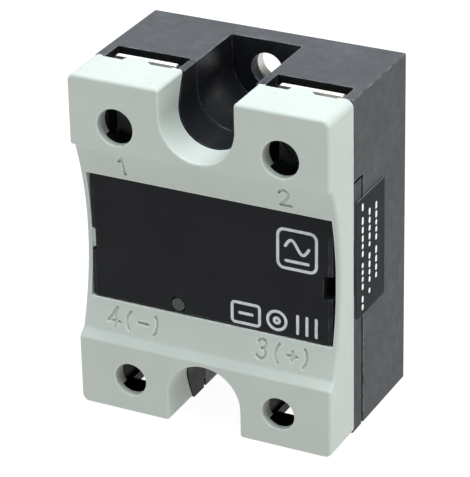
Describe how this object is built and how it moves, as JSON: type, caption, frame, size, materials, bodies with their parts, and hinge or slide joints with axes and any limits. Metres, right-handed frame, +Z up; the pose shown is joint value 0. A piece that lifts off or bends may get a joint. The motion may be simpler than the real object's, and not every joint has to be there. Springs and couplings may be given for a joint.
{
  "type": "solid state relay",
  "caption": "Panel-mount solid state relay block with screw terminals under a clip-on light grey cover and a metal heat-sink plate behind.",
  "frame": {"origin": "centre of the bounding box's bottom face, under the control end, on which the relay stands", "axes": "+X to the right across the front, +Y from the front face back to the heat-sink plate, +Z up along the long side from the control end to the power end"},
  "size_m": [0.0448, 0.0292, 0.0582],
  "materials": {
    "cover_plastic": "light warm grey moulded thermoplastic, fine satin grain",
    "housing_plastic": "charcoal black glass-filled thermoplastic, matt with fine scuffs",
    "nickel_plate": "nickel-plated aluminium, satin",
    "tinned_brass": "tinned brass, bright",
    "zinc_steel": "zinc-plated steel",
    "led_lens": "grey-green translucent lens, unlit",
    "label_film": "dark semi-gloss label film with plain pale bars",
    "alumina": null,
    "bare_copper": "bare copper",
    "silicon": null,
    "circuit_board": "green solder resist on glass-epoxy board",
    "moulded_package": "black epoxy moulding",
    "resistor_body": "pale blue lacquer",
    "varistor_coat": "blue epoxy dip coat"
  },
  "bodies": {
    "housing": {"housing_base": "housing_plastic", "housing_lid": "housing_plastic", "base_plate": "nickel_plate", "led_light_pipe": "led_lens", "seal_label": "label_film", "power_busbar_left": "tinned_brass", "power_busbar_right": "tinned_brass", "power_nut_left": "zinc_steel", "power_nut_right": "zinc_steel", "control_strip_left": "tinned_brass", "control_strip_right": "tinned_brass", "control_nut_left": "zinc_steel", "control_nut_right": "zinc_steel", "ceramic_substrate": "alumina", "copper_pad_left": "bare_copper", "copper_pad_right": "bare_copper", "copper_pad_gate": "bare_copper", "thyristor_die_left": "silicon", "thyristor_die_right": "silicon", "cathode_clip_left": "bare_copper", "cathode_clip_right": "bare_copper", "gate_pin_left": "zinc_steel", "gate_pin_right": "zinc_steel", "control_board": "circuit_board", "opto_coupler": "moulded_package", "regulator_transistor": "moulded_package", "status_led": "led_lens", "resistor_1": "resistor_body", "resistor_2": "resistor_body", "resistor_3": "resistor_body", "varistor": "varistor_coat"},
    "cover": {"cover": "cover_plastic"},
    "power_clamp_left": {"power_clamp_left": "tinned_brass"},
    "power_screw_left": {"power_screw_left": "zinc_steel"},
    "power_clamp_right": {"power_clamp_right": "tinned_brass"},
    "power_screw_right": {"power_screw_right": "zinc_steel"},
    "control_clamp_left": {"control_clamp_left": "tinned_brass"},
    "control_screw_left": {"control_screw_left": "zinc_steel"},
    "control_clamp_right": {"control_clamp_right": "tinned_brass"},
    "control_screw_right": {"control_screw_right": "zinc_steel"}
  },
  "joints": [
    {"name": "cover_pull", "type": "slide", "parent": "housing", "child": "cover", "axis": [0, -1, 0], "range_m": [0, 0.025]},
    {"name": "power_clamp_left_lift", "type": "slide", "parent": "housing", "child": "power_clamp_left", "axis": [0, -1, 0], "range_m": [-0.0014, 0.0009]},
    {"name": "power_screw_left_turn", "type": "hinge", "parent": "power_clamp_left", "child": "power_screw_left", "pos_m": [-0.0142, -0.00405, 0.0504], "axis": [0, -1, 0], "range_deg": [-630, 405]},
    {"name": "power_clamp_right_lift", "type": "slide", "parent": "housing", "child": "power_clamp_right", "axis": [0, -1, 0], "range_m": [-0.0014, 0.0009]},
    {"name": "power_screw_right_turn", "type": "hinge", "parent": "power_clamp_right", "child": "power_screw_right", "pos_m": [0.0142, -0.00405, 0.0504], "axis": [0, -1, 0], "range_deg": [-630, 405]},
    {"name": "control_clamp_left_lift", "type": "slide", "parent": "housing", "child": "control_clamp_left", "axis": [0, -1, 0], "range_m": [-0.001, 0.002]},
    {"name": "control_screw_left_turn", "type": "hinge", "parent": "control_clamp_left", "child": "control_screw_left", "pos_m": [-0.0132, -0.0036, 0.006], "axis": [0, -1, 0], "range_deg": [-720, 1440]},
    {"name": "control_clamp_right_lift", "type": "slide", "parent": "housing", "child": "control_clamp_right", "axis": [0, -1, 0], "range_m": [-0.001, 0.002]},
    {"name": "control_screw_right_turn", "type": "hinge", "parent": "control_clamp_right", "child": "control_screw_right", "pos_m": [0.0132, -0.0036, 0.006], "axis": [0, -1, 0], "range_deg": [-720, 1440]}
  ],
  "couplings": [
    {"joint": "power_screw_left_turn", "follows": "power_clamp_left_lift", "rad_per_m": 7854},
    {"joint": "power_screw_right_turn", "follows": "power_clamp_right_lift", "rad_per_m": 7854},
    {"joint": "control_screw_left_turn", "follows": "control_clamp_left_lift", "rad_per_m": 12566},
    {"joint": "control_screw_right_turn", "follows": "control_clamp_right_lift", "rad_per_m": 12566}
  ]
}
